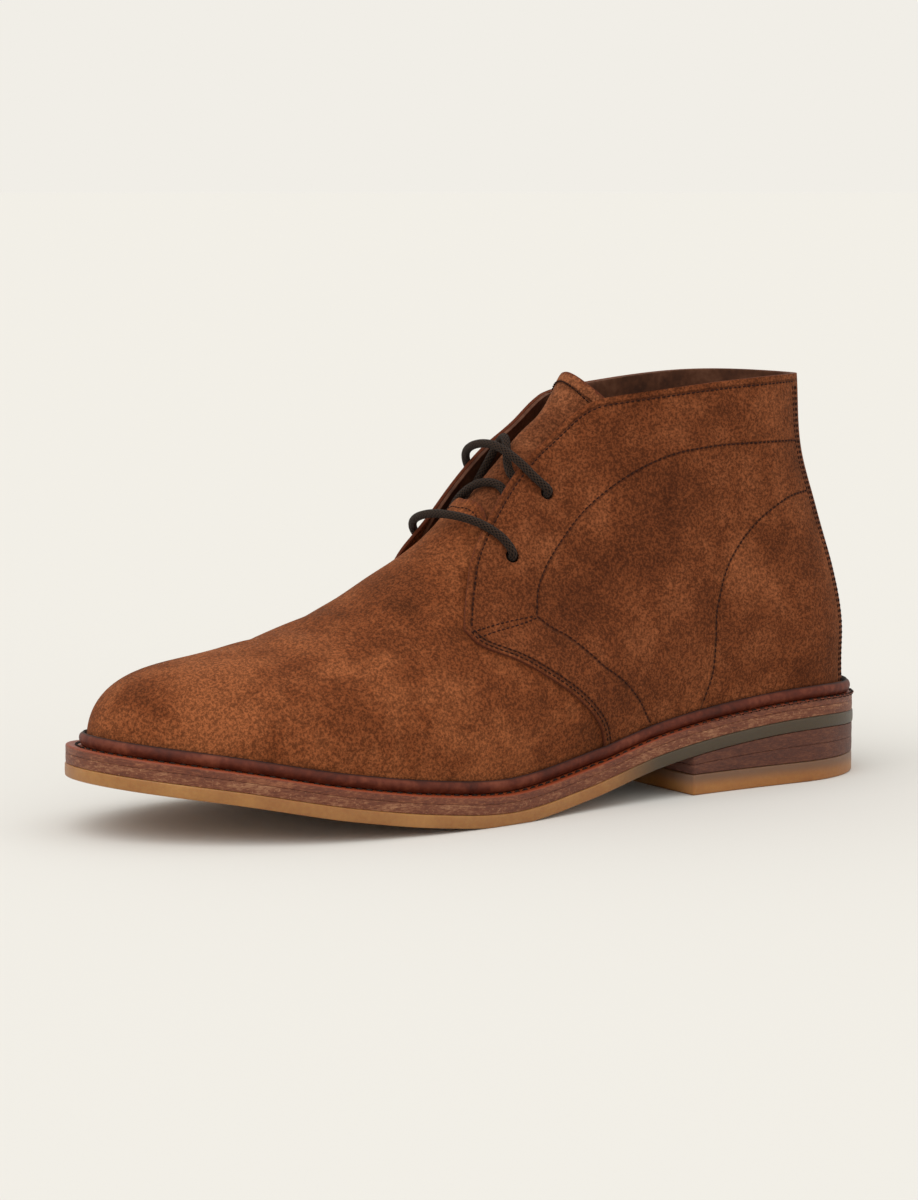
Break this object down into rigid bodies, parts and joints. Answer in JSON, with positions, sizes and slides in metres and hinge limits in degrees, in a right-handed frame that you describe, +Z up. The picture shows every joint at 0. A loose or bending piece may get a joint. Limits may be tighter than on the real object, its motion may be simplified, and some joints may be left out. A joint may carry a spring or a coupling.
{
  "type": "chukka boot",
  "caption": "Ankle-high suede chukka boot, left, with open-laced quarters over a plain vamp, upright welt, leather midsole, gum rubber outsole and stacked heel.",
  "frame": {"origin": "centre of the bounding box in plan, on the floor plane the sole rests on", "axes": "+Z up, toe towards -Y, heel towards +Y, outer (lateral) side of this left shoe towards +X"},
  "size_m": [0.1048, 0.3014, 0.144],
  "materials": {
    "suede": "brown suede with the nap brushed both ways",
    "tongue_suede": "brown suede",
    "insole_leather": "smooth lining leather",
    "welt_leather": "waxed edge leather",
    "midsole_leather": "burnished cut edge",
    "gum_rubber": "translucent gum rubber",
    "heel_leather": "stacked, burnished edge",
    "lift_rubber": "amber rubber",
    "lace": "round waxed cotton braid"
  },
  "bodies": {
    "root": {"upper": "suede", "tongue": "tongue_suede", "insole": "insole_leather", "welt": "welt_leather", "midsole": "midsole_leather", "outsole": "gum_rubber", "heel_lift_upper": "heel_leather", "heel_lift_lower": "heel_leather", "top_lift": "lift_rubber", "lace": "lace"}
  },
  "joints": []
}
